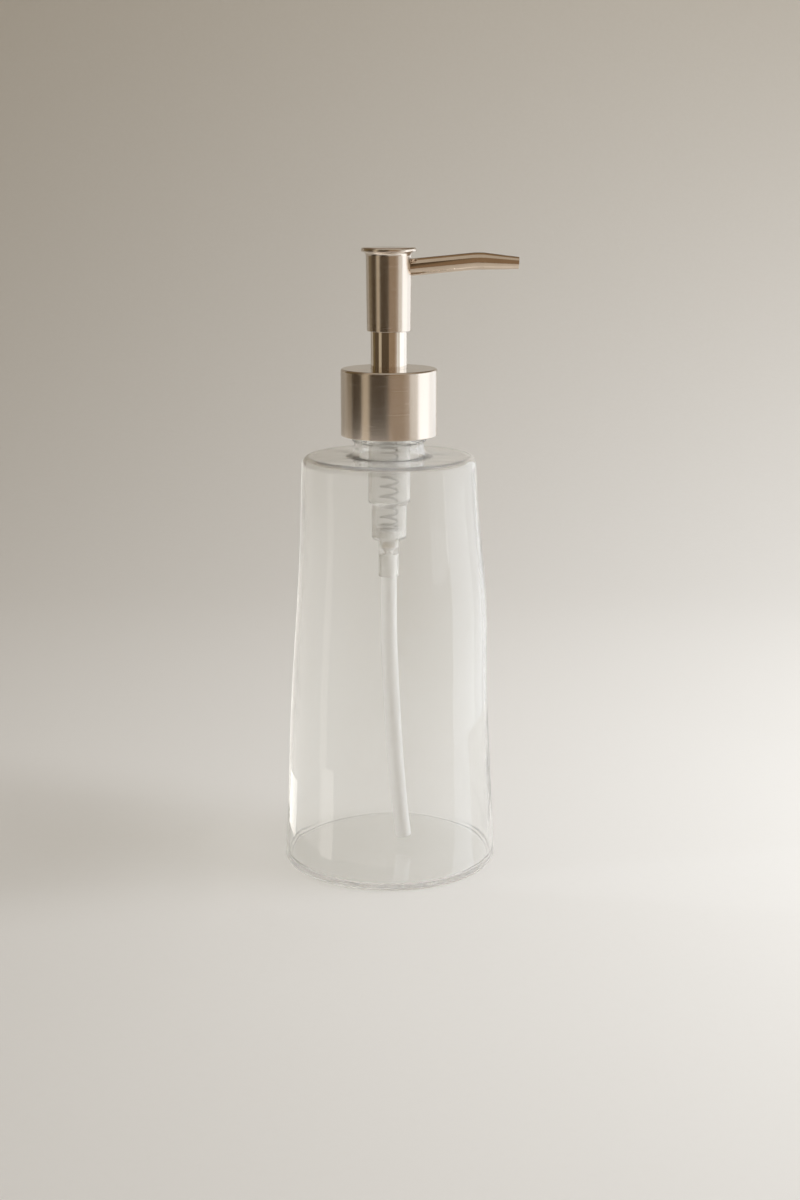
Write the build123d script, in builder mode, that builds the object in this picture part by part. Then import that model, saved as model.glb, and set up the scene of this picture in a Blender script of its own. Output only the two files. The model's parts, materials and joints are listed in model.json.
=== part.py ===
from build123d import *
import math
import os

os.makedirs("parts", exist_ok=True)

# Soap pump dispenser: a blown glass bottle with a steel lotion pump screwed on its neck
# Millimetres, +Z up, origin at the centre of the bottle's underside, spout towards +X

# Glass bottle
base_diameter = 75.4
shoulder_diameter = 60.0
shoulder_height = 145.0
glass_wall = 1.4
glass_floor = 1.6
base_edge_radius = 1.2
shoulder_edge_radius = 3.0
neck_diameter = 24.2
neck_wall = 2.4
neck_height = 23.2
neck_root_radius = 3.2
neck_bead_width = 1.6
neck_bead_depth = 0.6
neck_bead_to_rim = 16.8
neck_bead_flank = 0.5
neck_bead_edge = 0.25
rim_edge_radius = 0.7

# Neck thread, right-handed with one start, and the ridge in the closure that runs under it
thread_pitch = 4.23
thread_turns = 1.5
thread_depth = 1.4
thread_root_width = 2.6
thread_crest_width = 1.2
thread_to_rim = 4.0
thread_sink = 0.3
ridge_turns = 1.25
ridge_root_width = 1.4
ridge_crest_width = 0.8

# Screw closure: steel cup over a plastic cap
closure_skirt = 3.4
closure_wall = 0.6
closure_edge_radius = 0.8
closure_lip_radius = 0.2
liner_wall = 2.03
liner_roof = 1.7
liner_recess = 0.6
liner_edge_radius = 0.4

# Pump housing, hung from the neck by its flange
gasket_thickness = 1.2
housing_flange = 1.4
housing_wall = 1.1
housing_length = 40.3
housing_step = 1.15
lower_length = 13.3
lower_edge_radius = 1.2
socket_length = 13.0
socket_wall = 0.88
chamber_floor = 1.2

# Inlet valve and dip tube
ball_diameter = 4.4
ball_side_gap = 0.5
ball_lift = 1.2
orifice_diameter = 2.4
orifice_length = 1.0
retainer_thickness = 1.2
retainer_rim = 1.0
flow_hole_diameter = 1.4
flow_hole_count = 4
tube_diameter = 5.6
tube_wall = 0.7
tube_straight = 22.0
tube_sway = 5.0
tube_foot_gap = 4.8

# Plunger: rod, piston and stem
stroke = 11.0
shank_diameter = 5.6
rod_bore_diameter = 2.4
rod_plug_length = 6.0
port_diameter = 1.6
port_height = 1.8
valve_play = 1.0
valve_overhang = 0.1
valve_disc_thickness = 1.8
piston_length = 7.0
piston_cavity = 0.65
piston_cavity_height = 3.5
piston_inner_wall = 1.0
piston_groove = 0.5
piston_lip_flare = 0.65
piston_lip = 0.5
piston_lip_depth = 1.8
stem_shoulder = 1.0
stem_wall = 1.6
stem_plug_length = 4.5

# Return spring
spring_diameter = 6.8
spring_wire = 0.9
spring_coil_gap = 0.5
spring_closed_turns = 1.25
spring_ramp_turns = 1.0
spring_active_turns = 6.5
spring_boss_length = 3.0
spring_samples_per_turn = 48

# Stem guide and polished sleeve
guide_flange = 1.6
guide_plug_length = 10.0
guide_wall = 1.78
guide_recess = 0.3
wiper_height = 1.6
wiper_width = 1.0
wiper_lip = 0.4
wiper_relief = 0.4
sleeve_wall = 0.5
sleeve_overlap = 1.2

# Pump head
head_wall = 0.5
head_lip_radius = 0.2
head_widening = 0.25
head_stop_gap = 1.6
core_web = 0.6
cap_flare = 1.625
cap_lip_radius = 0.25
cap_rim_radius = 0.9
cap_rim_flat = 0.25
cap_cove_foot = 0.3
cap_pin_diameter = 3.0
cap_pin_length = 0.9

# Spout
spout_diameter = 5.7
spout_tip_diameter = 4.0
spout_wall = 0.5
spout_liner_wall = 0.6
spout_liner_setback = 0.8
spout_cover = 0.65
spout_start = 2.2
spout_bend_reach = 29.7
spout_tip_run = 13.9
spout_rise_angle = 5.5
spout_fall_angle = 3.0
spout_bend_radius = 30.0
channel_diameter = 3.2

# Clearances
bond_gap = 0.02
sliding_gap = 0.05
turning_gap = 0.1
seat_gap = 0.1
gasket_gap = 0.3
stop_gap = 0.5
sleeve_gap = 0.775
thread_flank_gap = 0.15
thread_crest_gap = 0.35
moulded_edge = 0.3

# Radii of the bottle and its neck
base_radius = base_diameter / 2
shoulder_radius = shoulder_diameter / 2
neck_radius = neck_diameter / 2
neck_bore = neck_radius - neck_wall
flange_radius = neck_radius - turning_gap

# Radii from the piston rod outwards to the housing
shank_radius = shank_diameter / 2
piston_bore = shank_radius + sliding_gap
cavity_radius = piston_bore + piston_cavity
inner_wall_radius = cavity_radius + piston_inner_wall
groove_radius = inner_wall_radius + piston_groove
lip_bore = groove_radius + piston_lip_flare
lip_radius = lip_bore + piston_lip
housing_bore = lip_radius + sliding_gap
housing_radius = housing_bore + housing_wall
lower_radius = housing_radius - housing_step
lower_bore = lower_radius - housing_wall

# Radii from the stem outwards to the head
stem_radius = shank_radius + stem_shoulder
stem_bore = stem_radius - stem_wall
guide_bore = stem_radius + turning_gap
guide_tube_radius = guide_bore + guide_wall
wiper_bore = stem_radius + sliding_gap
wiper_radius = wiper_bore + wiper_width
sleeve_bore = guide_tube_radius + bond_gap
sleeve_radius = sleeve_bore + sleeve_wall
sleeve_hole = sleeve_radius + turning_gap
head_bottom_radius = sleeve_radius + sleeve_gap + head_wall
head_top_radius = head_bottom_radius + head_widening

# Radii of the inlet valve, the dip tube and the spout
ball_radius = ball_diameter / 2
chamber_radius = ball_radius + ball_side_gap
orifice_radius = orifice_diameter / 2
tube_radius = tube_diameter / 2
socket_bore = tube_radius + bond_gap
socket_radius = socket_bore + socket_wall
spout_radius = spout_diameter / 2
spout_tip_radius = spout_tip_diameter / 2
channel_radius = channel_diameter / 2

# Heights of the stack that the closure clamps on the rim
rim_top = shoulder_height + neck_height
gasket_top = rim_top + gasket_thickness
flange_top = gasket_top + housing_flange
guide_top = flange_top + guide_flange
liner_under = guide_top + turning_gap
liner_top = liner_under + liner_roof
closure_top = liner_top + bond_gap + closure_wall

# Heights down the housing
step_height = gasket_top - housing_length
lower_bottom = step_height - lower_length
socket_bottom = lower_bottom - socket_length
floor_top = lower_bottom + chamber_floor
retainer_top = floor_top + retainer_thickness
ball_height = floor_top - seat_gap - ball_lift - ball_radius
seat_height = ball_height + orifice_radius - math.sqrt(2) * (ball_radius + sliding_gap)
tube_top = seat_height - orifice_length

# Heights of the plunger at rest
guide_bottom = flange_top - guide_plug_length
piston_top = guide_bottom - valve_play - stop_gap
piston_bottom = piston_top - piston_length
valve_top = piston_bottom - seat_gap
spring_top = valve_top - valve_disc_thickness
stem_bottom = piston_top + valve_play + seat_gap

# Heights of the head at rest, with the spout rising from its start to the shell
head_bottom = closure_top + stroke + head_stop_gap
sleeve_top = head_bottom + sleeve_overlap
core_bottom = sleeve_top + stroke + stop_gap
stem_top = core_bottom + stem_plug_length
spout_start_height = stem_top + core_web + spout_radius
rise = math.radians(spout_rise_angle)
fall = math.radians(spout_fall_angle)
spout_shell_height = spout_start_height + math.tan(rise) * (head_top_radius - spout_start)
head_top = spout_shell_height + spout_radius + spout_cover


def turned(*corners):
    """Closed profile of (radius, height, corner radius) corners, ready to revolve about Z."""
    with BuildSketch(Plane.XZ) as profile:
        with BuildLine():
            FilletPolyline(
                [(radius, height) for radius, height, corner in corners],
                radius=[corner for radius, height, corner in corners],
                close=True,
            )
        make_face()
    return profile.sketch


# Bottle
inner_shoulder_height = shoulder_height - glass_wall
inner_base_edge = base_edge_radius + glass_wall / 2
inner_shoulder_edge = shoulder_edge_radius - glass_wall
bead_radius = neck_radius + neck_bead_depth
bead_top = rim_top - neck_bead_to_rim
bead_bottom = bead_top - neck_bead_width
thread_start = rim_top - thread_to_rim - thread_pitch * thread_turns

with BuildPart() as bottle:
    revolve(
        turned(
            (0, 0, 0),
            (base_radius, 0, base_edge_radius),
            (shoulder_radius, shoulder_height, shoulder_edge_radius),
            (neck_radius, shoulder_height, neck_root_radius),
            (neck_radius, bead_bottom, neck_bead_edge),
            (bead_radius, bead_bottom + neck_bead_flank, neck_bead_edge),
            (bead_radius, bead_top - neck_bead_flank, neck_bead_edge),
            (neck_radius, bead_top, neck_bead_edge),
            (neck_radius, rim_top, rim_edge_radius),
            (neck_bore, rim_top, rim_edge_radius),
            (neck_bore, inner_shoulder_height, neck_root_radius),
            (shoulder_radius - glass_wall, inner_shoulder_height, inner_shoulder_edge),
            (base_radius - glass_wall, glass_floor, inner_base_edge),
            (0, glass_floor, 0),
        ),
        axis=Axis.Z,
    )
    with BuildLine() as thread_path:
        Helix(thread_pitch, thread_pitch * thread_turns, neck_radius, center=(0, 0, thread_start))
    with BuildSketch(Plane(thread_path.line @ 0, x_dir=(1, 0, 0), z_dir=thread_path.line % 0)):
        with BuildLine():
            Polyline(
                (-thread_sink, thread_root_width / 2),
                (0, thread_root_width / 2),
                (thread_depth, thread_crest_width / 2),
                (thread_depth, -thread_crest_width / 2),
                (0, -thread_root_width / 2),
                (-thread_sink, -thread_root_width / 2),
                close=True,
            )
        make_face()
    sweep(is_frenet=True)

# Closure liner: its ridge hangs one flank gap below the glass thread
liner_bore = neck_radius + thread_depth + thread_crest_gap
liner_radius = liner_bore + liner_wall
ridge_depth = thread_depth
thread_taper = (thread_root_width - thread_crest_width) / (2 * thread_depth)
ridge_taper = (ridge_root_width - ridge_crest_width) / (2 * ridge_depth)
width_at_ridge_tip = thread_root_width / 2 - thread_taper * thread_crest_gap + ridge_crest_width / 2
width_at_thread_tip = ridge_root_width / 2 - ridge_taper * thread_crest_gap + thread_crest_width / 2
ridge_drop = max(width_at_ridge_tip, width_at_thread_tip) + thread_flank_gap
ridge_start = thread_start - ridge_drop
closure_bottom = ridge_start - ridge_root_width / 2 - closure_skirt
liner_bottom = closure_bottom + liner_recess

with BuildPart() as closure_liner:
    revolve(
        turned(
            (sleeve_hole, liner_top, 0),
            (liner_radius, liner_top, liner_edge_radius),
            (liner_radius, liner_bottom, 0),
            (liner_bore, liner_bottom, moulded_edge),
            (liner_bore, liner_under, 0),
            (sleeve_hole, liner_under, 0),
        ),
        axis=Axis.Z,
    )
    with BuildLine() as ridge_path:
        Helix(thread_pitch, thread_pitch * ridge_turns, liner_bore, center=(0, 0, ridge_start))
    with BuildSketch(Plane(ridge_path.line @ 0, x_dir=(1, 0, 0), z_dir=ridge_path.line % 0)):
        with BuildLine():
            Polyline(
                (thread_sink, ridge_root_width / 2),
                (0, ridge_root_width / 2),
                (-ridge_depth, ridge_crest_width / 2),
                (-ridge_depth, -ridge_crest_width / 2),
                (0, -ridge_root_width / 2),
                (thread_sink, -ridge_root_width / 2),
                close=True,
            )
        make_face()
    sweep(is_frenet=True)

# Closure shell
shell_bore = liner_radius + bond_gap
closure_radius = shell_bore + closure_wall
shell_under = closure_top - closure_wall

with BuildPart() as closure_shell:
    revolve(
        turned(
            (sleeve_hole, closure_top, 0),
            (closure_radius, closure_top, closure_edge_radius),
            (closure_radius, closure_bottom, closure_lip_radius),
            (shell_bore, closure_bottom, 0),
            (shell_bore, shell_under, closure_lip_radius),
            (sleeve_hole, shell_under, 0),
        ),
        axis=Axis.Z,
    )

# Neck gasket
with BuildPart() as neck_gasket:
    with BuildSketch(Plane.XY.offset(rim_top)):
        Circle(flange_radius)
        Circle(housing_radius + gasket_gap, mode=Mode.SUBTRACT)
    extrude(amount=gasket_thickness)

# Pump housing: flange, piston bore, spring chamber, ball chamber and tube socket
bore_step_top = step_height + housing_wall / 2

with BuildPart() as pump_housing:
    revolve(
        turned(
            (socket_bore, socket_bottom, 0),
            (socket_radius, socket_bottom, moulded_edge),
            (socket_radius, lower_bottom, moulded_edge),
            (lower_radius, lower_bottom, lower_edge_radius),
            (lower_radius, step_height - housing_step, 0),
            (housing_radius, step_height, 0),
            (housing_radius, gasket_top, 0),
            (flange_radius, gasket_top, 0),
            (flange_radius, flange_top, moulded_edge),
            (housing_bore, flange_top, 0),
            (housing_bore, bore_step_top, 0),
            (lower_bore, bore_step_top - housing_step, 0),
            (lower_bore, floor_top, 0),
            (chamber_radius, floor_top, 0),
            (chamber_radius, seat_height + chamber_radius - orifice_radius, 0),
            (orifice_radius, seat_height, 0),
            (orifice_radius, tube_top, 0),
            (socket_bore, tube_top, 0),
        ),
        axis=Axis.Z,
    )

# Dip tube: straight in its socket, then curving gently to one side
tube_bend = tube_top - tube_straight
tube_foot = glass_floor + tube_foot_gap

with BuildPart() as dip_tube:
    with BuildLine(Plane.XZ):
        Line((0, tube_top), (0, tube_bend))
        TangentArc((0, tube_bend), (tube_sway, tube_foot), tangent=(0, -1))
    with BuildSketch(Plane.XY.offset(tube_top)):
        Circle(tube_radius)
        Circle(tube_radius - tube_wall, mode=Mode.SUBTRACT)
    sweep()

# Inlet ball, resting on its cone
with BuildPart() as inlet_ball:
    with Locations((0, 0, ball_height)):
        Sphere(ball_radius)

# Ball retainer, which also seats the spring
retainer_radius = lower_bore - bond_gap
flow_hole_circle = chamber_radius - flow_hole_diameter / 2

with BuildPart() as ball_retainer:
    with BuildSketch(Plane.XY.offset(floor_top)):
        Circle(retainer_radius)
        with PolarLocations(flow_hole_circle, flow_hole_count):
            Circle(flow_hole_diameter / 2, mode=Mode.SUBTRACT)
    extrude(amount=retainer_thickness)
    with BuildSketch(Plane.XY.offset(retainer_top)):
        Circle(retainer_radius)
        Circle(spring_diameter / 2 + turning_gap, mode=Mode.SUBTRACT)
    extrude(amount=retainer_rim)

# Return spring: closed turns at both ends, with the pitch easing in and out of the open turns
spring_radius = (spring_diameter - spring_wire) / 2
spring_turns = 2 * (spring_closed_turns + spring_ramp_turns) + spring_active_turns
spring_rise = spring_top - retainer_top - spring_wire
closed_pitch = spring_wire + spring_coil_gap
closed_share = 2 * spring_closed_turns + spring_ramp_turns
open_share = spring_active_turns + spring_ramp_turns
extra_pitch = (spring_rise - closed_share * closed_pitch) / open_share - closed_pitch


def spring_climb(turn):
    """Rise of the spring's wire after a number of turns from its lower end."""
    if turn > spring_turns / 2:
        return spring_rise - spring_climb(spring_turns - turn)
    eased = min(max(turn - spring_closed_turns, 0), spring_ramp_turns)
    fully_open = max(turn - spring_closed_turns - spring_ramp_turns, 0)
    return closed_pitch * turn + extra_pitch * (eased**2 / (2 * spring_ramp_turns) + fully_open)


def spring_slope(turn):
    """Pitch of the spring at a number of turns from its lower end."""
    from_end = min(turn, spring_turns - turn)
    eased = min(max((from_end - spring_closed_turns) / spring_ramp_turns, 0), 1)
    return closed_pitch + extra_pitch * eased


def spring_place(turn):
    """Point and unit heading of the spring's centre line at a number of turns."""
    angle = math.tau * turn
    height = retainer_top + spring_wire / 2 + spring_climb(turn)
    point = Vector(spring_radius * math.cos(angle), spring_radius * math.sin(angle), height)
    round_turn = math.tau * spring_radius
    heading = Vector(-round_turn * math.sin(angle), round_turn * math.cos(angle), spring_slope(turn))
    return point, heading.normalized()


def half_turn_arcs(first_turn):
    """Two tangent arcs over half a turn: their ends, their middle point and the headings there."""
    start, leaving = spring_place(first_turn)
    end, arriving = spring_place(first_turn + 1 / 2)
    across = end - start
    both = leaving + arriving
    spread = 2 * (1 - leaving.dot(arriving))
    root = math.sqrt(across.dot(both) ** 2 + spread * across.dot(across))
    reach = (root - across.dot(both)) / spread
    middle = (start + end + (leaving - arriving) * reach) / 2
    crossing = end - arriving * reach - start - leaving * reach
    return start, leaving, middle, crossing, end


with BuildPart() as return_spring:
    with BuildLine() as spring_path:
        for half in range(round(2 * spring_turns)):
            start, leaving, middle, crossing, end = half_turn_arcs(half / 2)
            TangentArc(start, middle, tangent=leaving)
            TangentArc(middle, end, tangent=crossing)
    with BuildSketch(Plane(spring_path.line @ 0, z_dir=spring_path.line % 0)):
        Circle(spring_wire / 2)
    sweep()

sample_count = round(spring_turns * spring_samples_per_turn)
spring_wire_line = spring_path.wire()
spring_samples = [spring_wire_line.position_at(i / sample_count) for i in range(sample_count + 1)]
least_distance = min(
    (spring_samples[i] - spring_samples[j]).length
    for i in range(sample_count + 1)
    for j in range(i + spring_samples_per_turn // 2, sample_count + 1)
)
print("return_spring: least gap to itself", round(least_distance - spring_wire, 3), "mm")

# Piston: cup lips on the bore at both ends, a guide on the rod and a cavity over the ports
cavity_top = piston_bottom + piston_cavity_height
upper_groove = piston_top - piston_lip_depth
lower_groove = piston_bottom + piston_lip_depth

with BuildPart() as piston:
    revolve(
        turned(
            (piston_bore, piston_top, 0),
            (inner_wall_radius, piston_top, 0),
            (inner_wall_radius, upper_groove, 0),
            (groove_radius, upper_groove, 0),
            (lip_bore, piston_top, 0),
            (lip_radius, piston_top, 0),
            (lip_radius, upper_groove, 0),
            (lip_bore, upper_groove - piston_lip, 0),
            (lip_bore, lower_groove + piston_lip, 0),
            (lip_radius, lower_groove, 0),
            (lip_radius, piston_bottom, 0),
            (lip_bore, piston_bottom, 0),
            (groove_radius, lower_groove, 0),
            (inner_wall_radius, lower_groove, 0),
            (inner_wall_radius, piston_bottom, 0),
            (cavity_radius, piston_bottom, 0),
            (cavity_radius, cavity_top, 0),
            (piston_bore, cavity_top + piston_cavity, 0),
        ),
        axis=Axis.Z,
    )

# Piston rod: valve disc on the spring, ported shank and a plug up into the stem
boss_radius = spring_radius - spring_wire / 2 - turning_gap
boss_bottom = spring_top - spring_boss_length
valve_radius = inner_wall_radius + valve_overhang
rod_plug_radius = stem_bore - bond_gap
rod_plug_top = stem_bottom + rod_plug_length
rod_bore = rod_bore_diameter / 2

with BuildPart() as piston_rod:
    revolve(
        turned(
            (0, boss_bottom, 0),
            (boss_radius, boss_bottom, moulded_edge),
            (boss_radius, spring_top, 0),
            (valve_radius, spring_top, moulded_edge),
            (valve_radius, valve_top, 0),
            (shank_radius, valve_top, 0),
            (shank_radius, stem_bottom, 0),
            (rod_plug_radius, stem_bottom, 0),
            (rod_plug_radius, rod_plug_top, 0),
            (rod_bore, rod_plug_top, 0),
            (rod_bore, valve_top, 0),
            (0, valve_top, 0),
        ),
        axis=Axis.Z,
    )
    for port_plane in (Plane.XZ, Plane.YZ):
        with BuildSketch(port_plane):
            with Locations((0, piston_bottom + port_height)):
                Circle(port_diameter / 2)
        extrude(amount=shank_diameter, both=True, mode=Mode.SUBTRACT)

# Stem tube
with BuildPart() as stem_tube:
    with BuildSketch(Plane.XY.offset(stem_bottom)):
        Circle(stem_radius)
        Circle(stem_bore, mode=Mode.SUBTRACT)
    extrude(amount=stem_top - stem_bottom)

# Stem guide: plug in the housing, flange under the closure, tube inside the sleeve, seat for the wiper
guide_plug_radius = housing_bore - bond_gap
guide_flange_radius = flange_radius - stop_gap
guide_tube_top = sleeve_top - guide_recess
wiper_bottom = guide_tube_top - wiper_height
wiper_seat_radius = wiper_radius + bond_gap

with BuildPart() as stem_guide:
    revolve(
        turned(
            (guide_bore, guide_bottom, 0),
            (guide_plug_radius, guide_bottom, moulded_edge),
            (guide_plug_radius, flange_top, 0),
            (guide_flange_radius, flange_top, 0),
            (guide_flange_radius, guide_top, moulded_edge),
            (guide_tube_radius, guide_top, 0),
            (guide_tube_radius, guide_tube_top, 0),
            (wiper_seat_radius, guide_tube_top, 0),
            (wiper_seat_radius, wiper_bottom, 0),
            (guide_bore, wiper_bottom, 0),
        ),
        axis=Axis.Z,
    )

# Stem wiper: soft ring with its lip on the stem
with BuildPart() as stem_wiper:
    revolve(
        turned(
            (wiper_bore + wiper_relief, wiper_bottom, 0),
            (wiper_radius, wiper_bottom, 0),
            (wiper_radius, guide_tube_top, 0),
            (wiper_bore, guide_tube_top, 0),
            (wiper_bore, guide_tube_top - wiper_lip, 0),
        ),
        axis=Axis.Z,
    )

# Neck sleeve
with BuildPart() as neck_sleeve:
    revolve(
        turned(
            (sleeve_bore, guide_top, 0),
            (sleeve_radius, guide_top, 0),
            (sleeve_radius, sleeve_top, sleeve_wall / 2),
            (sleeve_bore, sleeve_top, 0),
        ),
        axis=Axis.Z,
    )

# Spout line: straight up out of the head, over a soft bend and slightly down to the tip
spout_rising = Vector(math.cos(rise), 0, math.sin(rise))
spout_falling = Vector(math.cos(fall), 0, -math.sin(fall))
spout_root = Vector(spout_start, 0, spout_start_height)
spout_corner = spout_root + spout_rising * ((spout_bend_reach - spout_start) / math.cos(rise))
spout_tip = spout_corner + spout_falling * (spout_tip_run / math.cos(fall))
bend_tangent = spout_bend_radius * math.tan((rise + fall) / 2)
bend_start = spout_corner - spout_rising * bend_tangent
bend_end = spout_corner + spout_falling * bend_tangent

with BuildLine() as spout_run:
    Line(spout_root, bend_start)
    TangentArc(bend_start, bend_end, tangent=spout_rising)

spout_root_plane = Plane(spout_root, z_dir=spout_rising)
spout_bend_plane = Plane(bend_end, z_dir=spout_falling)
spout_tip_plane = Plane(spout_tip, z_dir=spout_falling)


def spout_bar(root_radius, tip_radius, setback):
    """Round bar along the spout: even up to the end of the bend, then tapering to the tip."""
    with BuildPart() as bar:
        with BuildSketch(spout_root_plane):
            Circle(root_radius)
        sweep(path=spout_run.line)
        with BuildSketch(spout_bend_plane):
            Circle(root_radius)
        with BuildSketch(spout_tip_plane.offset(-setback)):
            Circle(tip_radius)
        loft()
    return bar.part


# Spout tube and the plastic tube inside it
spout_bore = spout_radius - spout_wall
spout_tip_bore = spout_tip_radius - spout_wall
liner_root_radius = spout_bore - bond_gap
liner_tip_radius = spout_tip_bore - bond_gap
liner_root_bore = liner_root_radius - spout_liner_wall
liner_tip_bore = liner_tip_radius - spout_liner_wall
spout_outside = spout_bar(spout_radius, spout_tip_radius, 0)
spout_inside = spout_bar(spout_bore, spout_tip_bore, 0)
spout_liner_outside = spout_bar(liner_root_radius, liner_tip_radius, spout_liner_setback)
spout_liner_inside = spout_bar(liner_root_bore, liner_tip_bore, spout_liner_setback)

with BuildPart() as spout_tube:
    add(spout_outside)
    add(spout_inside, mode=Mode.SUBTRACT)

with BuildPart() as spout_liner:
    add(spout_liner_outside)
    add(spout_liner_inside, mode=Mode.SUBTRACT)

# Head shell: slightly conical barrel with a side hole for the spout
head_width = 2 * head_top_radius

with BuildPart() as head_shell:
    revolve(
        turned(
            (head_bottom_radius - head_wall, head_bottom, 0),
            (head_bottom_radius, head_bottom, head_lip_radius),
            (head_top_radius, head_top, 0),
            (head_top_radius - head_wall, head_top, 0),
        ),
        axis=Axis.Z,
    )
    with BuildSketch(spout_root_plane):
        Circle(spout_radius + sliding_gap)
    extrude(amount=head_width, mode=Mode.SUBTRACT)

# Head core: fills the top of the shell and leads the soap from the stem to the spout
core_inset = head_wall + bond_gap
core_share = (core_bottom - head_bottom) / (head_top - head_bottom)
core_top_radius = head_top_radius - core_inset
core_bottom_radius = head_bottom_radius + head_widening * core_share - core_inset
cap_pin_radius = cap_pin_diameter / 2
pin_hole_radius = cap_pin_radius + bond_gap
pin_hole_floor = head_top - cap_pin_length - bond_gap

with BuildPart() as head_core:
    revolve(
        turned(
            (0, core_bottom, 0),
            (core_bottom_radius, core_bottom, moulded_edge),
            (core_top_radius, head_top, 0),
            (pin_hole_radius, head_top, 0),
            (pin_hole_radius, pin_hole_floor, 0),
            (0, pin_hole_floor, 0),
        ),
        axis=Axis.Z,
    )
    with BuildSketch(Plane.XY.offset(core_bottom)):
        Circle(stem_radius + sliding_gap)
    extrude(amount=stem_plug_length + seat_gap, mode=Mode.SUBTRACT)
    with BuildSketch(Plane.XY.offset(stem_top)):
        Circle(channel_radius)
    extrude(amount=spout_start_height - stem_top, mode=Mode.SUBTRACT)
    with BuildSketch(spout_root_plane):
        Circle(spout_radius + bond_gap)
    extrude(amount=head_width, mode=Mode.SUBTRACT)
    with BuildSketch(spout_root_plane):
        Circle(channel_radius)
    extrude(amount=-spout_start, mode=Mode.SUBTRACT)

# Head cap: push button with a cove under its flared rim
cap_radius = head_top_radius + cap_flare
cap_cove_radius = cap_flare - cap_lip_radius - bond_gap
cap_cove_top = head_top + cap_cove_radius + cap_cove_foot
cap_top = cap_cove_top + cap_lip_radius + cap_rim_flat + cap_rim_radius

with BuildPart() as head_cap:
    revolve(
        turned(
            (0, head_top - cap_pin_length, 0),
            (cap_pin_radius, head_top - cap_pin_length, 0),
            (cap_pin_radius, head_top, 0),
            (head_top_radius, head_top, 0),
            (head_top_radius, cap_cove_top, cap_cove_radius),
            (cap_radius, cap_cove_top, cap_lip_radius),
            (cap_radius, cap_top, cap_rim_radius),
            (0, cap_top, 0),
        ),
        axis=Axis.Z,
    )

# One file for each piece
pieces = {
    "bottle": bottle,
    "closure_shell": closure_shell,
    "closure_liner": closure_liner,
    "neck_gasket": neck_gasket,
    "pump_housing": pump_housing,
    "dip_tube": dip_tube,
    "inlet_ball": inlet_ball,
    "ball_retainer": ball_retainer,
    "return_spring": return_spring,
    "piston": piston,
    "piston_rod": piston_rod,
    "stem_tube": stem_tube,
    "stem_guide": stem_guide,
    "stem_wiper": stem_wiper,
    "neck_sleeve": neck_sleeve,
    "head_shell": head_shell,
    "head_core": head_core,
    "head_cap": head_cap,
    "spout_tube": spout_tube,
    "spout_liner": spout_liner,
}
for name, piece in pieces.items():
    piece.part.label = name
    export_step(piece.part, f"parts/{name}.step")
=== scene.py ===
import json
import math

import bmesh
import bpy
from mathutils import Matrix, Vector


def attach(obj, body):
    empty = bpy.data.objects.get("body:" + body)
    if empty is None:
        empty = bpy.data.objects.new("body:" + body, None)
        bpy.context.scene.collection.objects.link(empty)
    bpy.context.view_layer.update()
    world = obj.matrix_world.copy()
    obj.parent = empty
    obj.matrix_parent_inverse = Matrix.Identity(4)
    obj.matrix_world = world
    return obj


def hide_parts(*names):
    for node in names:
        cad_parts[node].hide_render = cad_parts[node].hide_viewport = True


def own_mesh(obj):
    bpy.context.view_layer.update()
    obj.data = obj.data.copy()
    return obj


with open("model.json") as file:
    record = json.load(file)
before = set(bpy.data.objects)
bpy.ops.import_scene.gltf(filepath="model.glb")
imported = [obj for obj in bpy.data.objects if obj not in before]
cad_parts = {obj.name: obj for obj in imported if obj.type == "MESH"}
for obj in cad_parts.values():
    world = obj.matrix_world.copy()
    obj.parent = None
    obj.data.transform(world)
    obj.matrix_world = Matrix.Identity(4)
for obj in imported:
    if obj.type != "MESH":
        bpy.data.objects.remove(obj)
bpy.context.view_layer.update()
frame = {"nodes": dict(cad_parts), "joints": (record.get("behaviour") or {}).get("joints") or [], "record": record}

# Sizes in metres that the glass and the spring share with the solids they stand for
base_radius = 0.0377
shoulder_radius = 0.03
shoulder_height = 0.145
glass_wall = 0.0014
glass_floor = 0.0016
base_edge = 0.0012
shoulder_edge = 0.003
neck_radius = 0.0121
neck_wall = 0.0024
neck_height = 0.0232
neck_root = 0.0032
bead_width = 0.0016
bead_depth = 0.0006
bead_to_rim = 0.0168
bead_flank = 0.0005
bead_edge = 0.00025
rim_edge = 0.0007
thread_to_rim = 0.004
thread_pitch = 0.00423
thread_turns = 1.5
thread_depth = 0.0014
thread_root_width = 0.0026
thread_crest_width = 0.0012
spring_length = 0.0322
spring_coil_radius = 0.00295
spring_wire_radius = 0.00045
spring_coil_gap = 0.0005
spring_closed_turns = 1.25
spring_ramp_turns = 1.0
spring_active_turns = 6.5

# Sizes and places that follow from these and from the frame
inner_base_edge = base_edge + glass_wall / 2
inner_shoulder_edge = shoulder_edge - glass_wall
inner_shoulder_height = shoulder_height - glass_wall
neck_bore = neck_radius - neck_wall
rim_top = shoulder_height + neck_height
bead_radius = neck_radius + bead_depth
bead_top = rim_top - bead_to_rim
bead_bottom = bead_top - bead_width
thread_start = rim_top - thread_to_rim - thread_pitch * thread_turns
spring_closed_pitch = 2 * spring_wire_radius + spring_coil_gap
stroke_joint = next(joint for joint in frame["joints"] if joint["name"] == "pump_stroke")
spring_bottom = stroke_joint["deforming_nodes"][0]["fixed_end_z_m"]

# How finely the meshes are divided
arc_spacing = 0.00025
fewest_arc_steps = 6
floor_spacing = 0.002
wall_spacing = 0.0015
shoulder_spacing = 0.001
root_spacing = 0.0004
bead_spacing = 0.0002
thread_spacing = 0.00018
rim_spacing = 0.0005
bore_spacing = 0.001
bottle_segments = 192
spring_steps_per_turn = 56
spring_wire_sides = 16
cove_steps = 24
panel_steps = 16

millimetre = 0.001
same_place = 1e-9
same_surface = 1e-6


def clamp(value, low=0.0, high=1.0):
    return min(max(value, low), high)


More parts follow.
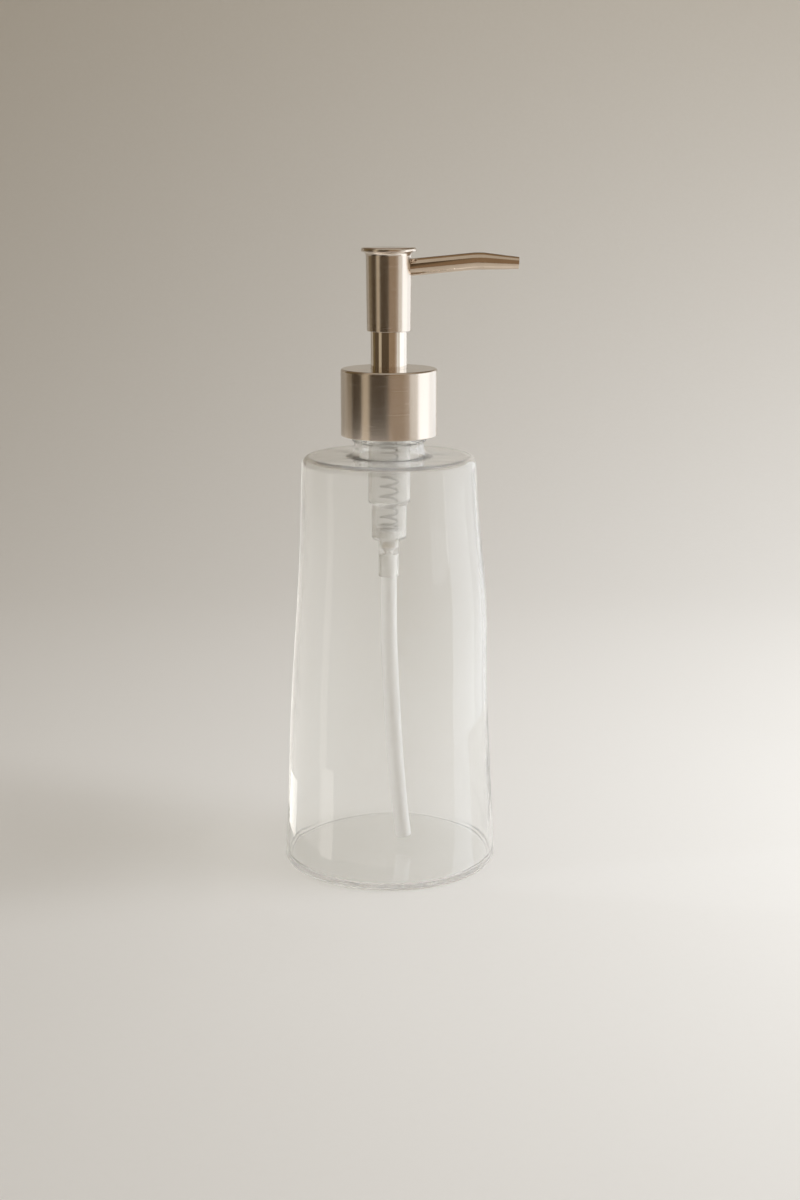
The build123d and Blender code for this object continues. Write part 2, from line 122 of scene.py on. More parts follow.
def ease(start, end, value):
    """Smooth step from 0 at start to 1 at end."""
    share = clamp((value - start) / (end - start))
    return share * share * (3 - 2 * share)


def bell(distance, width):
    """Smooth hump of height 1."""
    return math.exp(-((distance / width) ** 2))


def new_piece(name, mesh):
    piece = bpy.data.objects.new(name, mesh)
    bpy.context.scene.collection.objects.link(piece)
    return piece


def smooth_mesh(name, vertices, faces):
    """Mesh with outward faces and smooth shading."""
    mesh = bpy.data.meshes.new(name)
    mesh.from_pydata(vertices, [], faces)
    work = bmesh.new()
    work.from_mesh(mesh)
    bmesh.ops.recalc_face_normals(work, faces=work.faces)
    work.to_mesh(mesh)
    work.free()
    for face in mesh.polygons:
        face.use_smooth = True
    return mesh


# Profiles and turned meshes


def corner_arc(before, here, after, corner):
    """Points of the arc that rounds a corner of a profile."""
    back = (before - here).normalized()
    ahead = (after - here).normalized()
    half = back.angle(ahead) / 2
    reach = corner / math.tan(half)
    centre = here + (back + ahead).normalized() * (corner / math.sin(half))
    first = here + back * reach - centre
    sweep = first.angle_signed(here + ahead * reach - centre)
    steps = max(fewest_arc_steps, round(abs(sweep) * corner / arc_spacing))
    arc = []
    for step in range(steps + 1):
        turn = sweep * step / steps
        # Vector.angle_signed counts clockwise turns as positive
        x = first.x * math.cos(turn) + first.y * math.sin(turn)
        y = -first.x * math.sin(turn) + first.y * math.cos(turn)
        arc.append(centre + Vector((x, y)))
    return arc


def rounded_profile(corners):
    """Points (radius, height) along corners of (radius, height, corner radius, spacing after it)."""
    points = []
    places = [Vector(corner[:2]) for corner in corners]
    for index, (_, _, corner, _) in enumerate(corners):
        arc = [places[index]]
        if corner:
            arc = corner_arc(places[index - 1], places[index], places[index + 1], corner)
        if points:
            start = points[-1]
            run = arc[0] - start
            spacing = corners[index - 1][3]
            count = max(1, math.ceil(run.length / spacing))
            points += [start + run * (step / count) for step in range(1, count)]
            if run.length < same_place:
                points.pop()
        points += arc
    return points


def turned_mesh(name, profile, segments, shape):
    """Closed solid of a profile that starts and ends on the axis.

    shape(radius, height, angle, index) moves the point of the profile that has that index.
    """
    vertices = []
    inner = profile[1:-1]
    vertices.append((0.0, 0.0, shape(0.0, profile[0].y, 0.0, 0)[1]))
    for index, point in enumerate(inner, start=1):
        for segment in range(segments):
            angle = math.tau * segment / segments
            radius, height = shape(point.x, point.y, angle, index)
            vertices.append((radius * math.cos(angle), radius * math.sin(angle), height))
    vertices.append((0.0, 0.0, shape(0.0, profile[-1].y, 0.0, len(inner) + 1)[1]))
    top = len(vertices) - 1
    faces = []
    for segment in range(segments):
        following = (segment + 1) % segments
        faces.append((0, 1 + following, 1 + segment))
        for ring in range(len(inner) - 1):
            low = 1 + ring * segments
            high = low + segments
            faces.append((low + segment, low + following, high + following, high + segment))
        low = 1 + (len(inner) - 1) * segments
        faces.append((low + segment, low + following, top))
    return smooth_mesh(name, vertices, faces)


# Hand-blown bottle

# Depths of the waves are in millimetres, heights and radii in metres, and angles in radians
bulge_depth = 1.45
bulge_height = 0.094
bulge_reach = 0.025
bulge_spread = 0.75
left_wave_depth = 0.4
left_wave_height = 0.055
left_wave_length = 0.11
oval_depth = 0.16
oval_start = 0.6
oval_twist = 18
lobe_depth = 0.1
lobe_start = -1.1
lobe_twist = 31
slow_wander_depth = 0.12
slow_wander_start = 1.3
slow_wander_twist = 40
quick_wander_depth = 0.05
quick_wander_start = -0.4
quick_wander_twist = -75
wave_foot = 0.002
wander_foot = 0.004
waves_full = 0.02
waves_fade = 0.126
wave_top = 0.143
wander_top = 0.142
still_radius = 0.02
wavy_radius = 0.028
thread_fade_turns = 0.08
base_kick = 0.35 * millimetre
kick_inner_radius = 0.004
kick_outer_radius = 0.034
floor_pool = 0.4 * millimetre
pool_inner_radius = 0.002
pool_outer_radius = 0.032


def blown(angle, height):
    """How far the blown wall stands out from a true cone."""
    from_right = math.atan2(math.sin(angle), math.cos(angle))
    bulge = bulge_depth * bell(height - bulge_height, bulge_reach) * bell(from_right, bulge_spread)
    left_turn = math.tau * (height - left_wave_height) / left_wave_length
    left_wave = left_wave_depth * math.cos(left_turn) * (0.5 - 0.5 * math.cos(angle))
    oval = oval_depth * math.cos(2 * angle + oval_start + oval_twist * height)
    lobes = oval + lobe_depth * math.cos(3 * angle + lobe_start + lobe_twist * height)
    held = ease(wave_foot, waves_full, height) * (1 - ease(waves_fade, wave_top, height))
    return (bulge + left_wave + lobes) * held * millimetre


def wall_wander(angle, height):
    """How the inner face wanders from the outer one, as blown glass does."""
    slow = slow_wander_depth * math.sin(2 * angle + slow_wander_start + slow_wander_twist * height)
    quick = quick_wander_depth * math.sin(5 * angle + quick_wander_start + quick_wander_twist * height)
    held = ease(wander_foot, waves_full, height) * (1 - ease(waves_fade, wander_top, height))
    return (slow + quick) * held * millimetre


def thread_rise(angle, height):
    """Height of the neck's thread at a place on the neck."""
    best = 0.0
    for whole in (0, 1):
        turns = angle / math.tau + whole
        if turns > thread_turns:
            continue
        off = abs(height - thread_start - thread_pitch * turns)
        flank = (thread_root_width - thread_crest_width) / 2
        share = ease(0, 1, (thread_root_width / 2 - off) / flank)
        run_out = ease(thread_turns - thread_fade_turns, thread_turns, turns)
        ends = ease(0, thread_fade_turns, turns) * (1 - run_out)
        best = max(best, share * ends)
    return best * thread_depth


bottle_corners = [
    (0, 0, 0, floor_spacing),
    (base_radius, 0, base_edge, wall_spacing),
    (shoulder_radius, shoulder_height, shoulder_edge, shoulder_spacing),
    (neck_radius, shoulder_height, neck_root, root_spacing),
    (neck_radius, bead_bottom, bead_edge, bead_spacing),
    (bead_radius, bead_bottom + bead_flank, bead_edge, bead_spacing),
    (bead_radius, bead_top - bead_flank, bead_edge, bead_spacing),
    (neck_radius, bead_top, bead_edge, thread_spacing),
    (neck_radius, rim_top, rim_edge, rim_spacing),
    (neck_bore, rim_top, rim_edge, bore_spacing),
    (neck_bore, inner_shoulder_height, neck_root, shoulder_spacing),
    (shoulder_radius - glass_wall, inner_shoulder_height, inner_shoulder_edge, wall_spacing),
    (base_radius - glass_wall, glass_floor, inner_base_edge, floor_spacing),
    (0, glass_floor, 0, floor_spacing),
]
bottle_profile = rounded_profile(bottle_corners)
rim_index = max(range(len(bottle_profile)), key=lambda index: bottle_profile[index].y)


def bottle_shape(radius, height, angle, index):
    """Place of a profile's point on the uneven bottle."""
    outside = index < rim_index
    wall = ease(still_radius, wavy_radius, radius)
    moved = radius + blown(angle, height) * wall
    if not outside:
        moved += wall_wander(angle, height) * wall
    if outside and abs(radius - neck_radius) < same_surface:
        moved += thread_rise(angle, height)
    if outside and height < same_surface:
        height += base_kick * (1 - ease(kick_inner_radius, kick_outer_radius, radius))
    if not outside and height < glass_floor + same_surface:
        height += floor_pool * (1 - ease(pool_inner_radius, pool_outer_radius, radius))
    return moved, height


bottle_mesh = turned_mesh("blown_bottle", bottle_profile, bottle_segments, bottle_shape)
bottle = new_piece("blown_bottle", bottle_mesh)
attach(bottle, "bottle")
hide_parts("bottle")

# Coil spring, wound like the solid it stands for

wire_end_share = 0.8
spring_turns = 2 * (spring_closed_turns + spring_ramp_turns) + spring_active_turns
spring_rise = spring_length - 2 * spring_wire_radius
closed_share = 2 * spring_closed_turns + spring_ramp_turns
open_share = spring_active_turns + spring_ramp_turns
extra_pitch = (spring_rise - closed_share * spring_closed_pitch) / open_share - spring_closed_pitch


def spring_climb(turn):
    """Rise of the wire over so many turns from the lower end."""
    if turn > spring_turns / 2:
        return spring_rise - spring_climb(spring_turns - turn)
    eased = clamp(turn - spring_closed_turns, 0, spring_ramp_turns)
    fully_open = max(turn - spring_closed_turns - spring_ramp_turns, 0)
    return spring_closed_pitch * turn + extra_pitch * (eased**2 / (2 * spring_ramp_turns) + fully_open)


def coil_mesh(name, steps_per_turn, sides):
    """Wire of the spring, a little narrower at its two cut ends."""
    steps = round(spring_turns * steps_per_turn)
    vertices = []
    for step in range(steps + 1):
        turn = spring_turns * step / steps
        angle = math.tau * turn
        height = spring_bottom + spring_wire_radius + spring_climb(turn)
        outward = Vector((math.cos(angle), math.sin(angle), 0))
        middle = outward * spring_coil_radius + Vector((0, 0, height))
        narrowed = wire_end_share if step in (0, steps) else 1.0
        for side in range(sides):
            around = math.tau * side / sides
            off = outward * math.cos(around) + Vector((0, 0, math.sin(around)))
            vertices.append(middle + off * spring_wire_radius * narrowed)
    faces = []
    for ring in range(steps):
        for side in range(sides):
            low = ring * sides + side
            low_next = ring * sides + (side + 1) % sides
            faces.append((low, low_next, low_next + sides, low + sides))
    faces.append(tuple(range(sides)))
    faces.append(tuple(range(steps * sides, (steps + 1) * sides)))
    return smooth_mesh(name, vertices, faces)


spring = new_piece("coil_spring", coil_mesh("coil_spring", spring_steps_per_turn, spring_wire_sides))
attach(spring, "pump_unit")
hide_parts("return_spring")
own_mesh(spring)

# Materials

noise_low = 0.3
noise_high = 0.7


class Recipe:
    """A material with its main shader and short calls to add nodes."""

    def __init__(self, name):
        self.material = bpy.data.materials.new(name)
        self.material.use_nodes = True
        self.tree = self.material.node_tree
        self.shader = self.tree.nodes["Principled BSDF"]
        self.output = self.tree.nodes["Material Output"]
        self.place = self.add("ShaderNodeTexCoord").outputs["Object"]

    def add(self, kind, **settings):
        made = self.tree.nodes.new(kind)
        for setting, value in settings.items():
            setattr(made, setting, value)
        return made

    def link(self, source, target):
        self.tree.links.new(source, target)

    def set(self, **values):
        """Sets constants on the main shader."""
        for socket, value in values.items():
            self.shader.inputs[socket.replace("_", " ")].default_value = value

    def feed(self, socket, source):
        """Links a value or a colour that varies to the main shader."""
        self.link(source, self.shader.inputs[socket])

    def math(self, operation, first, second):
        made = self.add("ShaderNodeMath", operation=operation)
        for socket, value in zip(made.inputs, (first, second)):
            if isinstance(value, (int, float)):
                socket.default_value = value
            else:
                self.link(value, socket)
        return made.outputs[0]

    def noise(self, scale, detail=3.0, vector=None):
        made = self.add("ShaderNodeTexNoise")
        made.inputs["Scale"].default_value = scale
        made.inputs["Detail"].default_value = detail
        self.link(vector or self.place, made.inputs["Vector"])
        return made.outputs["Fac"]

    def span(self, value, low, high, from_low=noise_low, from_high=noise_high):
        """Value moved from one span to another, and held at its ends."""
        made = self.add("ShaderNodeMapRange")
        self.link(value, made.inputs["Value"])
        made.inputs["From Min"].default_value = from_low
        made.inputs["From Max"].default_value = from_high
        made.inputs["To Min"].default_value = low
        made.inputs["To Max"].default_value = high
        return made.outputs["Result"]

    def tones(self, value, start, end, from_low=noise_low, from_high=noise_high):
        """Colour that goes from start to end as the value rises."""
        made = self.add("ShaderNodeValToRGB")
        stops = ((from_low, start), (from_high, end))
        for element, (position, colour) in zip(made.color_ramp.elements, stops):
            element.position = position
            element.color = (*colour, 1)
        self.link(value, made.inputs["Fac"])
        return made.outputs["Color"]

    def bump(self, height, strength, distance):
        made = self.add("ShaderNodeBump")
        made.inputs["Strength"].default_value = strength
        made.inputs["Distance"].default_value = distance
        self.link(height, made.inputs["Height"])
        self.feed("Normal", made.outputs["Normal"])

    def lathe_lines(self, around, along, detail):
        """Noise that varies slowly round Z and quickly along and across it, as a lathe leaves."""
        parts = self.add("ShaderNodeSeparateXYZ")
        self.link(self.place, parts.inputs[0])
        flat = self.add("ShaderNodeCombineXYZ")
        self.link(parts.outputs["X"], flat.inputs["X"])
        self.link(parts.outputs["Y"], flat.inputs["Y"])
        length = self.add("ShaderNodeVectorMath", operation="LENGTH")
        self.link(flat.outputs[0], length.inputs[0])
        heading = self.add("ShaderNodeVectorMath", operation="NORMALIZE")
        self.link(flat.outputs[0], heading.inputs[0])
        scaled = self.add("ShaderNodeVectorMath", operation="SCALE")
        self.link(heading.outputs[0], scaled.inputs[0])
        scaled.inputs["Scale"].default_value = around
        sides = self.add("ShaderNodeSeparateXYZ")
        self.link(scaled.outputs[0], sides.inputs[0])
        joined = self.add("ShaderNodeCombineXYZ")
        self.link(sides.outputs["X"], joined.inputs["X"])
        self.link(sides.outputs["Y"], joined.inputs["Y"])
        self.link(self.math("MULTIPLY", parts.outputs["Z"], along), joined.inputs["Z"])
        lines = self.add("ShaderNodeTexNoise", noise_dimensions="4D")
        lines.inputs["Scale"].default_value = 1.0
        lines.inputs["Detail"].default_value = detail
        self.link(joined.outputs[0], lines.inputs["Vector"])
        self.link(self.math("MULTIPLY", length.outputs["Value"], along), lines.inputs["W"])
        return lines.outputs["Fac"]

    def lamps_pass(self, colour):
        """Lets lamp light and scattered light through, as clear walls do."""
        path = self.add("ShaderNodeLightPath")
        clear = self.add("ShaderNodeBsdfTransparent")
        clear.inputs["Color"].default_value = (*colour, 1)
        surface = self.shader.outputs[0]
        for kind in ("Is Shadow Ray", "Is Diffuse Ray"):
            either = self.add("ShaderNodeMixShader")
            self.link(path.outputs[kind], either.inputs["Fac"])
            self.link(surface, either.inputs[1])
            self.link(clear.outputs[0], either.inputs[2])
            surface = either.outputs[0]
        self.link(surface, self.output.inputs["Surface"])


def clear_glass():
    recipe = Recipe("clear_glass")
    recipe.set(IOR=1.47, Transmission_Weight=0.93, Sheen_Weight=0.1, Sheen_Roughness=0.5)
    tint = recipe.noise(scale=22)
    smudges = recipe.noise(scale=55, detail=5.0)
    ripples = recipe.noise(scale=45, detail=2.0)
    recipe.feed("Base Color", recipe.tones(tint, start=(0.99, 0.995, 0.99), end=(0.998, 1.0, 0.998)))
    recipe.feed("Roughness", recipe.span(smudges, low=0.0, high=0.02, from_low=0.5, from_high=0.75))
    recipe.bump(ripples, strength=0.2, distance=0.001)
    recipe.lamps_pass((0.958, 0.958, 0.954))
    return recipe.material


def brushed_steel():
    recipe = Recipe("brushed_steel")
    recipe.set(Metallic=1.0, Anisotropic=0.65, Anisotropic_Rotation=0.25)
    tangent = recipe.add("ShaderNodeTangent", direction_type="RADIAL", axis="Z")
    recipe.feed("Tangent", tangent.outputs[0])
    fine_share = 0.6
    fine = recipe.lathe_lines(around=1.5, along=16000, detail=2.0)
    broad = recipe.lathe_lines(around=0.8, along=4000, detail=2.0)
    fine_part = recipe.math("MULTIPLY", fine, fine_share)
    broad_part = recipe.math("MULTIPLY", broad, 1 - fine_share)
    both = recipe.math("ADD", fine_part, broad_part)
    recipe.feed("Base Color", recipe.tones(both, start=(0.67, 0.595, 0.52), end=(0.7, 0.625, 0.55)))
    facing = recipe.add("ShaderNodeSeparateXYZ")
    recipe.link(recipe.add("ShaderNodeNewGeometry").outputs["Normal"], facing.inputs[0])
    brushed = recipe.span(both, low=0.22, high=0.28)
    turned_top = recipe.span(facing.outputs["Z"], low=0.0, high=0.15, from_low=0.9, from_high=0.99)
    recipe.feed("Roughness", recipe.math("SUBTRACT", brushed, turned_top))
    recipe.bump(fine, strength=0.005, distance=0.00002)
    return recipe.material


def polished_steel(name, dull, bright):
    recipe = Recipe(name)
    recipe.set(Metallic=1.0)
    smudges = recipe.noise(scale=180, detail=5.0)
    lines = recipe.lathe_lines(around=1.0, along=5000, detail=3.0)
    recipe.feed("Base Color", recipe.tones(smudges, start=dull, end=bright))
    recipe.feed("Roughness", recipe.span(smudges, low=0.06, high=0.12))
    recipe.bump(lines, strength=0.03, distance=0.0001)
    return recipe.material


def spring_steel():
    recipe = Recipe("spring_steel")
    recipe.set(Metallic=1.0)
    drawn = recipe.noise(scale=2600, detail=4.0)
    recipe.feed("Base Color", recipe.tones(drawn, start=(0.36, 0.36, 0.36), end=(0.52, 0.52, 0.51)))
    recipe.feed("Roughness", recipe.span(drawn, low=0.22, high=0.38))
    recipe.bump(drawn, strength=0.1, distance=0.0001)
    return recipe.material


def milky_plastic():
    recipe = Recipe("milky_plastic")
    recipe.set(IOR=1.25, Transmission_Weight=0.76)
    clouds = recipe.noise(scale=240, detail=4.0)
    grain = recipe.noise(scale=900)
    recipe.feed("Base Color", recipe.tones(clouds, start=(0.985, 0.985, 0.98), end=(0.998, 0.998, 0.995)))
    recipe.feed("Roughness", recipe.span(clouds, low=0.04, high=0.09))
    recipe.bump(grain, strength=0.06, distance=0.0002)
    recipe.lamps_pass((0.97, 0.97, 0.965))
    return recipe.material


def white_plastic():
    recipe = Recipe("white_plastic")
    recipe.set(IOR=1.5)
    clouds = recipe.noise(scale=300, detail=4.0)
    grain = recipe.noise(scale=1500)
    recipe.feed("Base Color", recipe.tones(clouds, start=(0.84, 0.84, 0.82), end=(0.9, 0.9, 0.885)))
    recipe.feed("Roughness", recipe.span(clouds, low=0.32, high=0.46))
    recipe.bump(grain, strength=0.08, distance=0.0001)
    return recipe.material


def tube_plastic():
    recipe = Recipe("tube_plastic")
    recipe.set(IOR=1.1, Transmission_Weight=0.12, Subsurface_Weight=1.0, Subsurface_Scale=0.006)
    recipe.set(Subsurface_Radius=(1, 1, 1))
    stretch = recipe.add("ShaderNodeMapping")
    stretch.inputs["Scale"].default_value = (1, 1, 0.03)
    recipe.link(recipe.place, stretch.inputs["Vector"])
    drawn = recipe.noise(scale=1600, vector=stretch.outputs["Vector"])
    clouds = recipe.noise(scale=120)
    recipe.feed("Base Color", recipe.tones(clouds, start=(0.98, 0.98, 0.98), end=(0.998, 0.998, 0.998)))
    recipe.feed("Roughness", recipe.span(drawn, low=0.3, high=0.42))
    recipe.bump(drawn, strength=0.08, distance=0.0001)
    recipe.lamps_pass((0.99, 0.99, 0.99))
    return recipe.material


def soft_seal():
    recipe = Recipe("soft_seal")
    grain = recipe.noise(scale=2200)
    recipe.feed("Base Color", recipe.tones(grain, start=(0.74, 0.74, 0.71), end=(0.82, 0.82, 0.79)))
    recipe.feed("Roughness", recipe.span(grain, low=0.55, high=0.75))
    recipe.bump(grain, strength=0.15, distance=0.0001)
    return recipe.material


finishes = {
    "clear_glass": clear_glass(),
    "brushed_steel": brushed_steel(),
    "polished_steel": polished_steel("polished_steel", dull=(0.7, 0.63, 0.55), bright=(0.78, 0.71, 0.63)),
    "spring_steel": spring_steel(),
    "milky_plastic": milky_plastic(),
    "white_plastic": white_plastic(),
    "tube_plastic": tube_plastic(),
    "soft_seal": soft_seal(),
}
for part in frame["record"]["subparts"]:
    node = frame["nodes"][part["node"]]
    node.data.materials.clear()
    node.data.materials.append(finishes[part["material_slot"]])
bottle.data.materials.append(finishes["clear_glass"])
spring.data.materials.append(finishes["spring_steel"])
# Painted shade: the spout gets a darker and warmer copy of the same polished steel
shaded_spout_steel = polished_steel("shaded_spout_steel", dull=(0.57, 0.46, 0.36), bright=(0.63, 0.52, 0.41))
frame["nodes"]["spout_tube"].data.materials[0] = shaded_spout_steel

# Seamless paper sweep under and behind the object, with painted shade that darkens it higher up, and which fades
# outside the camera's view to one tone that glows as painted light

far_tone = (0.55, 0.51, 0.45)
low_paper = (0.82, 0.8, 0.775)
shaded_high_paper = (0.6, 0.55, 0.475)
painted_shade_height = 0.6
sweep_half_width = 1.2
sweep_front = -3.0
cove_start = 0.4
cove_radius = 0.6
sweep_top = 2.2
floor_drop = -0.0001
# The view's right edge moves out by this share of the depth
view_spread = 0.24
right_fade_start = 0.18
right_fade_end = 0.42
left_fade_start = -0.4
front_fade_start = -0.5
far_fade_end = -1.2
sweep_line = [(sweep_front, floor_drop), (cove_start, floor_drop)]
for step in range(1, cove_steps + 1):
    turn = math.pi / 2 * step / cove_steps
    depth = cove_start + cove_radius * math.sin(turn)
    sweep_line.append((depth, floor_drop + cove_radius * (1 - math.cos(turn))))
sweep_line.append((cove_start + cove_radius, sweep_top))
sweep_vertices = []
for depth, height in sweep_line:
    sweep_vertices += [(-sweep_half_width, depth, height), (sweep_half_width, depth, height)]
sweep_faces = [(2 * i, 2 * i + 1, 2 * i + 3, 2 * i + 2) for i in range(len(sweep_line) - 1)]
paper_mesh = smooth_mesh("paper_sweep", sweep_vertices, sweep_faces)
paper = new_piece("paper_sweep", paper_mesh)


def paper_finish():
    recipe = Recipe("paper")
    recipe.set(Roughness=0.9, Specular_IOR_Level=0.2)
    fibres = recipe.noise(scale=350, detail=5.0)
    parts = recipe.add("ShaderNodeSeparateXYZ")
    recipe.link(recipe.place, parts.inputs[0])
    across, depth, height = parts.outputs
    # Painted shade: the paper is painted darker and warmer higher up
    shade = recipe.span(height, low=0.0, high=1.0, from_low=0.0, from_high=painted_shade_height)
    uneven = recipe.math("ADD", shade, recipe.span(fibres, low=-0.02, high=0.02))
    tone = recipe.tones(uneven, start=low_paper, end=shaded_high_paper, from_low=0.0, from_high=1.0)
    recipe.feed("Base Color", tone)
    recipe.bump(fibres, strength=0.05, distance=0.0003)
    outside = recipe.math("SUBTRACT", across, recipe.math("MULTIPLY", depth, view_spread))
    right_fade = recipe.span(outside, low=0, high=1, from_low=right_fade_start, from_high=right_fade_end)
    left_fade = recipe.span(across, low=1, high=0, from_low=far_fade_end, from_high=left_fade_start)
    front_fade = recipe.span(depth, low=1, high=0, from_low=far_fade_end, from_high=front_fade_start)
    side_fade = recipe.math("MAXIMUM", right_fade, left_fade)
    # Painted light: outside the camera's view the paper glows with one tone instead of being lit
    far_painted_glow = recipe.add("ShaderNodeEmission")
    far_painted_glow.inputs["Color"].default_value = (*far_tone, 1)
    blend = recipe.add("ShaderNodeMixShader")
    recipe.link(recipe.math("MAXIMUM", side_fade, front_fade), blend.inputs["Fac"])
    recipe.link(recipe.shader.outputs[0], blend.inputs[1])
    recipe.link(far_painted_glow.outputs[0], blend.inputs[2])
    recipe.link(blend.outputs[0], recipe.output.inputs["Surface"])
    return recipe.material


paper_mesh.materials.append(paper_finish())

# Glowing and dark panels round the object that only shiny surfaces see: painted reflections of a room, which make
# the stripes on metal and glass, and painted glints

flag_radius = 0.62
flag_top = 0.9
low_flag_top = 0.105
back_flag_bottom = 0.45
ceiling_split = 0.1
dark_reflection_radius = 0.26
card_radius = 0.22
card_top = 0.24
low_card_top = 0.117
bounce_foot_radius = 0.07
bounce_head_radius = 0.055
bounce_top = 0.143
low_bounce_radius = 0.066
low_bounce_top = 0.032
glint_radius = 0.06
glint_top = 0.021
floor_glow_height = 0.0005
floor_glow_gap = 0.006
floor_lag = 33

# Spans of azimuth in degrees, counted from the front towards the right
left_span = (-98, -67)
left_card_span = (-66, -47)
front_span = (-47, 0)
dark_front_reflection_span = (-47, -8)
front_right_span = (0, 38)
right_span = (38, 50)
back_span = (130, 230)
window_span = (72, 108)
window_floor_span = (72, 95)
window_edge_span = (108, 146)
low_window_edge_span = (108, 128)
low_window_far_span = (128, 146)
edge_bounce_span = (-137, -84)
bounce_span = (-84, -64)
bright_bounce_span = (-64, -56)
front_bounce_span = (-56, 6)
low_bounce_span = (-60, -48)
glint_span = (-118, -96)

daylight = (0.925, 0.965, 1.01)
warm_white = (1.0, 0.96, 0.9)
deep_brown = (0.025, 0.016, 0.008)
dark_brown = (0.11, 0.08, 0.05)
back_brown = (0.18, 0.13, 0.09)
room_brown = (0.32, 0.23, 0.15)
pale_brown = (0.45, 0.36, 0.28)
ceiling_cream = (0.62, 0.59, 0.53)
cream = (0.56, 0.48, 0.36)


def shine_only(name, vertices, faces, tone, strength=1.0):
    """Glowing stage panel that shows in reflections and nowhere else, as a painted reflection."""
    mesh = smooth_mesh(name, vertices, faces)
    panel = new_piece(name, mesh)
    recipe = Recipe(name)
    recipe.set(Base_Color=(0, 0, 0, 1), Specular_IOR_Level=0.0)
    recipe.set(Emission_Color=(*tone, 1), Emission_Strength=strength)
    mesh.materials.append(recipe.material)
    panel.visible_camera = False
    panel.visible_diffuse = False
    panel.visible_transmission = False
    panel.visible_shadow = False


def swept_panel(name, span, start, end, tone, strength=1.0, lag=0.0):
    """Panel swept over a span of azimuth.

    start and end are the radius and height of its two curved edges, and start lags behind end.
    """
    first, last = span
    vertices = []
    for step in range(panel_steps + 1):
        azimuth = first + (last - first) * step / panel_steps
        for (radius, height), back in ((start, lag), (end, 0.0)):
            turn = math.radians(azimuth - back)
            vertices.append((radius * math.sin(turn), -radius * math.cos(turn), height))
    faces = [(2 * i, 2 * i + 2, 2 * i + 3, 2 * i + 1) for i in range(panel_steps)]
    shine_only(name, vertices, faces, tone, strength)


def upright_flag(name, span, tone, bottom=0.0, top=flag_top):
    """Far panel that stands round the object."""
    swept_panel(name, span, (flag_radius, bottom), (flag_radius, top), tone)


def ceiling_panel(name, front, back, tone):
    """Level panel over the object."""
    corners = [(-flag_radius, front, flag_top), (flag_radius, front, flag_top)]
    corners += [(flag_radius, back, flag_top), (-flag_radius, back, flag_top)]
    shine_only(name, corners, [(0, 1, 2, 3)], tone)


upright_flag("left_flag", left_span, dark_brown, bottom=low_flag_top)
upright_flag("low_left_flag", left_span, deep_brown, top=low_flag_top)
upright_flag("left_card", left_card_span, cream)
upright_flag("front_flag", front_span, dark_brown, bottom=low_flag_top)
upright_flag("low_front_flag", front_span, deep_brown, top=low_flag_top)
upright_flag("front_right_flag", front_right_span, room_brown)
upright_flag("right_flag", right_span, pale_brown)
upright_flag("back_flag", back_span, back_brown, bottom=back_flag_bottom)
# Painted dark reflections: dark panels just over the pale floor to the left and front, seen only by shiny surfaces
dark_reflection_start = (dark_reflection_radius, floor_glow_height)
dark_reflection_end = (flag_radius, floor_glow_height)
swept_panel("dark_left_floor_reflection", left_span, dark_reflection_start, dark_reflection_end, deep_brown)
swept_panel("dark_front_floor_reflection", dark_front_reflection_span, dark_reflection_start, dark_reflection_end, deep_brown)
glow_edge = (base_radius + floor_glow_gap, floor_glow_height)
card_foot = (card_radius, floor_glow_height)
card_split = (card_radius, low_card_top)
card_head = (card_radius, card_top)
swept_panel("window_card", window_span, card_split, card_head, daylight, strength=1.65)
swept_panel("low_window_card", window_span, card_foot, card_split, daylight, strength=2.0)
swept_panel("window_edge_card", window_edge_span, card_split, card_head, daylight, strength=1.4)
swept_panel("low_window_edge_card", low_window_edge_span, card_foot, card_split, daylight, strength=1.35)
swept_panel("low_window_far_card", low_window_far_span, card_foot, card_split, daylight, strength=0.8)
# Painted pool of window light on the floor, seen only in reflections
swept_panel("window_floor", window_floor_span, glow_edge, card_foot, daylight, strength=1.7, lag=floor_lag)
bounce_foot = (bounce_foot_radius, floor_glow_height)
bounce_head = (bounce_head_radius, bounce_top)
swept_panel("edge_bounce_card", edge_bounce_span, bounce_foot, bounce_head, warm_white, strength=1.3)
swept_panel("bounce_card", bounce_span, bounce_foot, bounce_head, warm_white, strength=1.3)
swept_panel("bright_bounce_card", bright_bounce_span, bounce_foot, bounce_head, warm_white, strength=2.1)
swept_panel("front_bounce_card", front_bounce_span, bounce_foot, bounce_head, warm_white, strength=1.25)
low_foot = (low_bounce_radius, floor_glow_height)
low_head = (low_bounce_radius, low_bounce_top)
swept_panel("low_bounce_card", low_bounce_span, low_foot, low_head, warm_white, strength=2.9)
# Painted glint low on the left of the glass
glint_foot = (glint_radius, floor_glow_height)
glint_head = (glint_radius, glint_top)
swept_panel("low_glint", glint_span, glint_foot, glint_head, warm_white, strength=2.6)
ceiling_panel("front_ceiling", -flag_radius, ceiling_split, ceiling_cream)
ceiling_panel("back_ceiling", ceiling_split, flag_radius, room_brown)

# Soft window light from the right and a warm room

room_tone = (0.175, 0.13, 0.065)


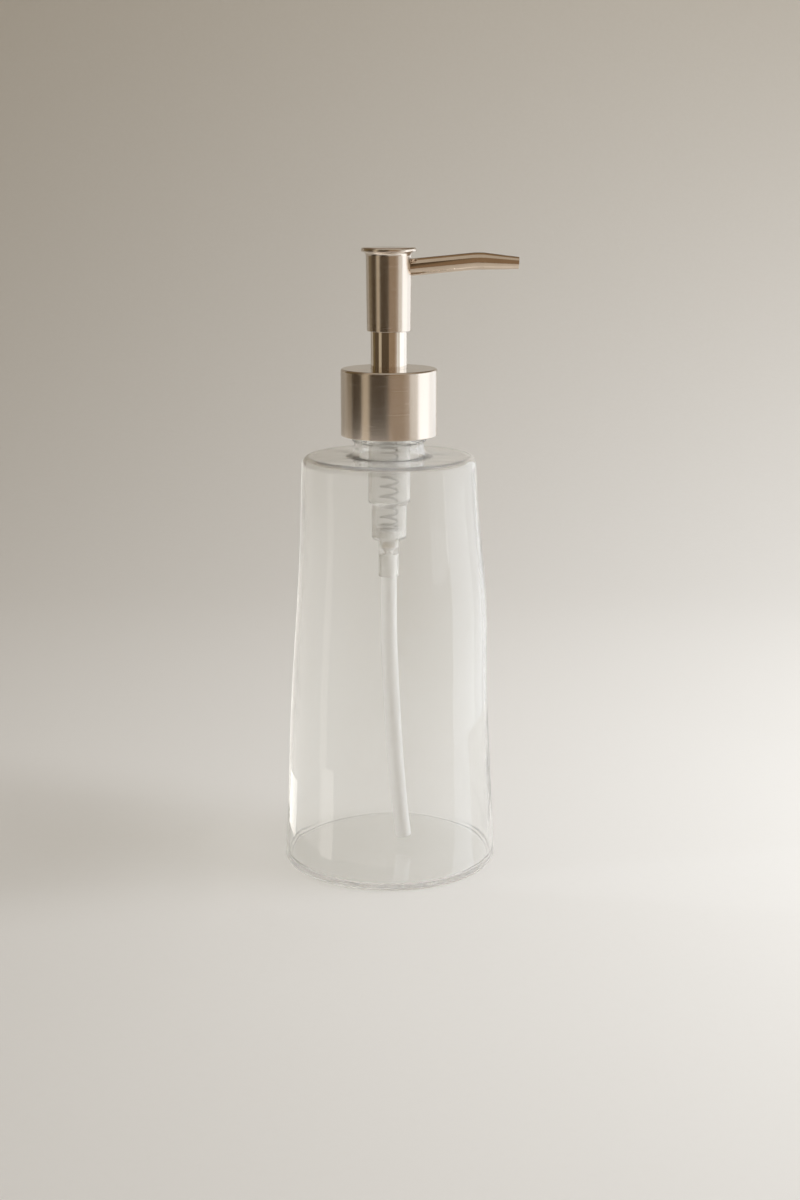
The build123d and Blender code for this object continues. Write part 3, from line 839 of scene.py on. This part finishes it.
def softbox(name, place, aim, width, height, power, shines=True):
    """Rectangular soft daylight that faces a point, and that shows in reflections where it shines."""
    light = bpy.data.lights.new(name, "AREA")
    light.shape = "RECTANGLE"
    light.size = width
    light.size_y = height
    light.energy = power
    light.color = daylight
    lamp = bpy.data.objects.new(name, light)
    bpy.context.scene.collection.objects.link(lamp)
    lamp.location = place
    lamp.rotation_euler = (Vector(aim) - Vector(place)).to_track_quat("-Z", "Y").to_euler()
    lamp.visible_camera = False
    lamp.visible_transmission = False
    lamp.visible_glossy = shines


softbox(
    "high_window",
    place=(0.62, -0.06, 0.72),
    aim=(0, 0, 0.08),
    width=0.5,
    height=0.5,
    power=7.8,
    shines=False,
)
softbox("low_window", place=(0.85, 0.33, 0.32), aim=(0, 0.33, 0.32), width=1.16, height=0.62, power=3.3)
softbox("fill_window", place=(0.74, -0.38, 0.32), aim=(0, 0, 0.32), width=0.44, height=0.62, power=0.62)

world = bpy.data.worlds.new("room")
bpy.context.scene.world = world
world.use_nodes = True
room = world.node_tree
background = room.nodes["Background"]
background.inputs["Color"].default_value = (*room_tone, 1)
far_paper = room.nodes.new("ShaderNodeBackground")
far_paper.inputs["Color"].default_value = (*far_tone, 1)
path = room.nodes.new("ShaderNodeLightPath")
seen = room.nodes.new("ShaderNodeMath")
seen.operation = "MAXIMUM"
either = room.nodes.new("ShaderNodeMixShader")
room.links.new(path.outputs["Is Camera Ray"], seen.inputs[0])
room.links.new(path.outputs["Is Transmission Ray"], seen.inputs[1])
room.links.new(seen.outputs[0], either.inputs["Fac"])
room.links.new(background.outputs[0], either.inputs[1])
room.links.new(far_paper.outputs[0], either.inputs[2])
room.links.new(either.outputs[0], room.nodes["World Output"].inputs["Surface"])

# Camera at the photograph's place

camera_place = (0.00375, -0.5839, 0.2333)
camera_dip = 13.435
sensor_height = 36
lens_length = 51.3
light_bounces = 128

camera_data = bpy.data.cameras.new("camera")
camera_data.sensor_fit = "VERTICAL"
camera_data.sensor_height = sensor_height
camera_data.lens = lens_length
camera = bpy.data.objects.new("camera", camera_data)
bpy.context.scene.collection.objects.link(camera)
camera.location = camera_place
camera.rotation_euler = (math.radians(90 - camera_dip), 0, 0)
bpy.context.scene.camera = camera
bpy.context.scene.view_settings.view_transform = "Standard"
# Light runs round inside thin glass walls for many bounces before it leaves
bpy.context.scene.cycles.max_bounces = light_bounces
bpy.context.scene.cycles.transmission_bounces = light_bounces
bpy.context.scene.cycles.glossy_bounces = light_bounces
